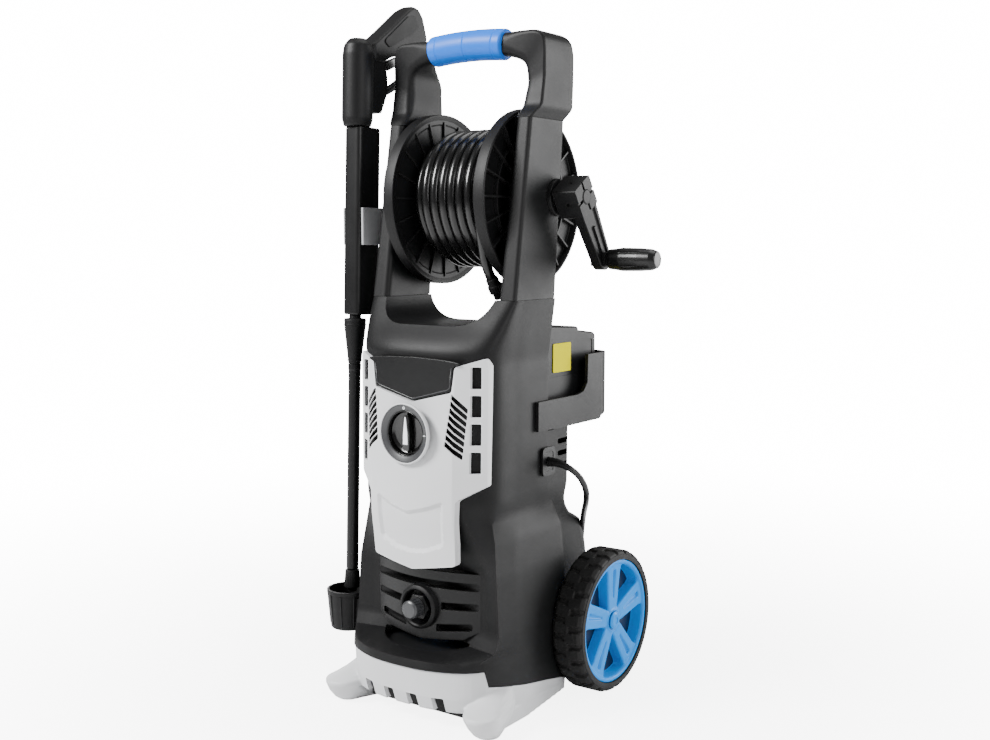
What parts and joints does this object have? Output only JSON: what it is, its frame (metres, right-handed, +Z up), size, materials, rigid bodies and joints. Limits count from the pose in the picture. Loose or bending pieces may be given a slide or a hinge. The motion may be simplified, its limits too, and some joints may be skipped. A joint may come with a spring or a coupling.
{
  "type": "pressure washer",
  "caption": "Upright wheeled electric pressure washer with a built-in hose reel and crank, carry handle, spray gun on a lance, detergent tank and a slatted front water inlet.",
  "frame": {"origin": "on the floor, under the middle of the bounding box of the machine without its free power cord", "axes": "+Z up, the front with the cover and the water inlet faces -Y, +X is the crank side"},
  "size_m": [0.409, 0.468, 0.9229],
  "materials": {
    "black_plastic": "fine grain, semi-matt",
    "gloss_black": "smooth, glossy",
    "light_grey": "satin",
    "mid_grey": "satin",
    "bezel_grey": "satin",
    "grip_blue": "satin",
    "hub_blue": "satin",
    "tyre": "matt",
    "soft_black": "matt",
    "hose_black": "glossy",
    "cord_black": "satin",
    "sticker_yellow": "gloss film",
    "steel": "brushed",
    "brass": "machined",
    "aluminium": "cast"
  },
  "bodies": {
    "machine": {"front_housing": "black_plastic", "rear_housing": "black_plastic", "base_tray": "light_grey", "front_cover": "light_grey", "badge_panel": "black_plastic", "switch_bezel": "bezel_grey", "switch_box": "mid_grey", "recess_grille": "black_plastic", "water_inlet": "black_plastic", "column_left": "black_plastic", "column_right": "black_plastic", "carry_handle": "black_plastic", "handle_grip": "grip_blue", "reel_bush_left": "mid_grey", "reel_bush_right": "mid_grey", "hose_swivel": "brass", "axle": "steel", "gun_clip": "mid_grey", "lance_cup": "black_plastic", "detergent_tank": "black_plastic", "tank_sticker": "sticker_yellow", "tank_holder": "black_plastic", "motor_casing": "aluminium", "fan_shroud": "black_plastic", "pump_body": "aluminium", "pump_head": "brass", "capacitor": "light_grey", "outlet_pipe": "brass", "cord_grommet": "black_plastic", "power_cord": "cord_black", "cord_coil": "cord_black", "cord_plug": "cord_black"},
    "reel": {"reel_flange_left": "black_plastic", "reel_flange_right": "black_plastic", "reel_drum": "black_plastic", "reel_shaft": "steel", "hose_winding": "hose_black", "hose_tail": "hose_black", "hose_connector": "black_plastic", "crank_arm": "black_plastic"},
    "crank_handle": {"crank_grip": "gloss_black"},
    "wheel_left": {"tyre_left": "tyre", "hub_left": "hub_blue", "wheel_cap_left": "hub_blue"},
    "wheel_right": {"tyre_right": "tyre", "hub_right": "hub_blue", "wheel_cap_right": "hub_blue"},
    "fan": {"motor_fan": "black_plastic"},
    "knob": {"switch_knob": "gloss_black"},
    "gun": {"gun_body": "black_plastic", "gun_sleeve": "black_plastic", "gun_grip_panel": "soft_black", "lance_coupling": "black_plastic", "lance_tube": "black_plastic"},
    "nozzle": {"lance_nozzle": "black_plastic"},
    "trigger": {"trigger": "black_plastic"},
    "trigger_lock": {"trigger_lock": "mid_grey"},
    "cap": {"tank_cap": "mid_grey"},
    "inlet_plug": {"inlet_cap": "mid_grey"}
  },
  "joints": [
    {"name": "wheel_left_spin", "type": "hinge", "parent": "machine", "child": "wheel_left", "pos_m": [-0.167, 0.0845, 0.095], "axis": [1, 0, 0], "continuous": true},
    {"name": "wheel_right_spin", "type": "hinge", "parent": "machine", "child": "wheel_right", "pos_m": [0.116, 0.0845, 0.095], "axis": [1, 0, 0], "continuous": true},
    {"name": "reel_turn", "type": "hinge", "parent": "machine", "child": "reel", "pos_m": [-0.0255, 0.0085, 0.656], "axis": [1, 0, 0], "continuous": true},
    {"name": "crank_grip_spin", "type": "hinge", "parent": "reel", "child": "crank_handle", "pos_m": [0.1645, 0.0605, 0.578], "axis": [1, 0, 0], "continuous": true},
    {"name": "fan_spin", "type": "hinge", "parent": "machine", "child": "fan", "pos_m": [-0.0255, 0.0065, 0.307], "axis": [0, 0, 1], "continuous": true},
    {"name": "switch_turn", "type": "hinge", "parent": "machine", "child": "knob", "pos_m": [-0.0255, -0.1535, 0.366], "axis": [0, 1, 0], "range_deg": [0, 90]},
    {"name": "gun_lift", "type": "slide", "parent": "machine", "child": "gun", "axis": [0, 0.035, 0.9994], "range_m": [0, 0.08]},
    {"name": "nozzle_twist", "type": "hinge", "parent": "gun", "child": "nozzle", "pos_m": [-0.1755, -0.09217, 0.14091], "axis": [0, 0.035, 0.9994], "range_deg": [0, 90]},
    {"name": "trigger_pull", "type": "hinge", "parent": "gun", "child": "trigger", "pos_m": [-0.1755, -0.01667, 0.8397], "axis": [1, 0, 0], "range_deg": [0, 6], "stiffness_Nm_per_rad": 0.3},
    {"name": "trigger_lock_flip", "type": "hinge", "parent": "gun", "child": "trigger_lock", "pos_m": [-0.1755, 0.04783, 0.86696], "axis": [1, 0, 0], "range_deg": [0, 25]},
    {"name": "tank_cap_turn", "type": "hinge", "parent": "machine", "child": "cap", "pos_m": [0.0145, 0.0545, 0.504], "axis": [0, 0, 1], "continuous": true},
    {"name": "inlet_cap_pull", "type": "slide", "parent": "machine", "child": "inlet_plug", "axis": [0, -1, 0], "range_m": [0, 0.03]}
  ]
}
